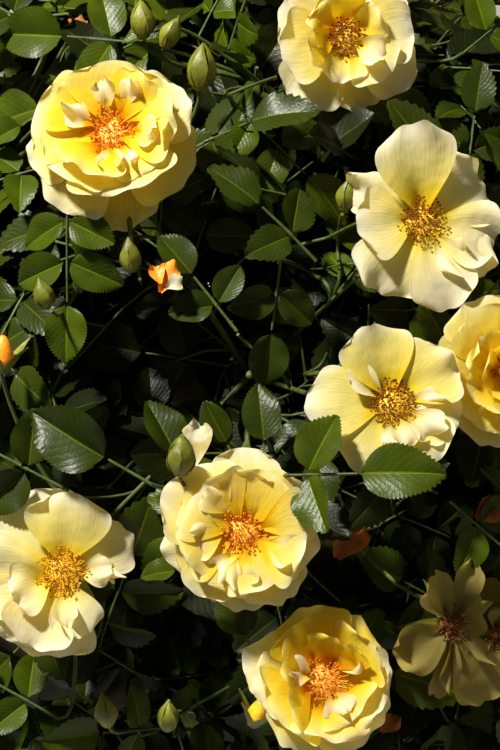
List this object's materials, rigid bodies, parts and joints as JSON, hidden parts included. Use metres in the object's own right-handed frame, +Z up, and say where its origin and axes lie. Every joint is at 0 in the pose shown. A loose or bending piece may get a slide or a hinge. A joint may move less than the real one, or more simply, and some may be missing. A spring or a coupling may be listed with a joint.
{
  "type": "rose bush",
  "caption": "Low mounded garden rose bush in bloom: short stem, arching canes and masses of compound leaves with open ruffled yellow blooms.",
  "frame": {"origin": "middle of the stem's flat cut at ground level", "axes": "+Z up along the stem, -Y to the front, which is the side the picture shows"},
  "size_m": [0.7221, 0.7208, 0.5813],
  "materials": {
    "bark": "rough grey-brown bark with fissures",
    "cane": "smooth green cane, flushed with brown",
    "foliage": "glossy dark green leaves",
    "petal": "soft satin lemon yellow, deeper at the heart",
    "stamen": "matt orange filaments with brown anthers",
    "sepal": "matt yellow-green calyx and buds"
  },
  "bodies": {
    "root": {"stem": "bark", "cane_top": "cane", "cane_shoulder_1": "cane", "cane_shoulder_2": "cane", "cane_shoulder_3": "cane", "cane_shoulder_4": "cane", "cane_skirt_1": "cane", "cane_skirt_2": "cane", "cane_skirt_3": "cane", "cane_skirt_4": "cane", "cane_skirt_5": "cane", "foliage_top": "foliage", "foliage_shoulder_1": "foliage", "foliage_shoulder_2": "foliage", "foliage_shoulder_3": "foliage", "foliage_shoulder_4": "foliage", "foliage_skirt_1": "foliage", "foliage_skirt_2": "foliage", "foliage_skirt_3": "foliage", "foliage_skirt_4": "foliage", "foliage_skirt_5": "foliage"}
  },
  "joints": []
}
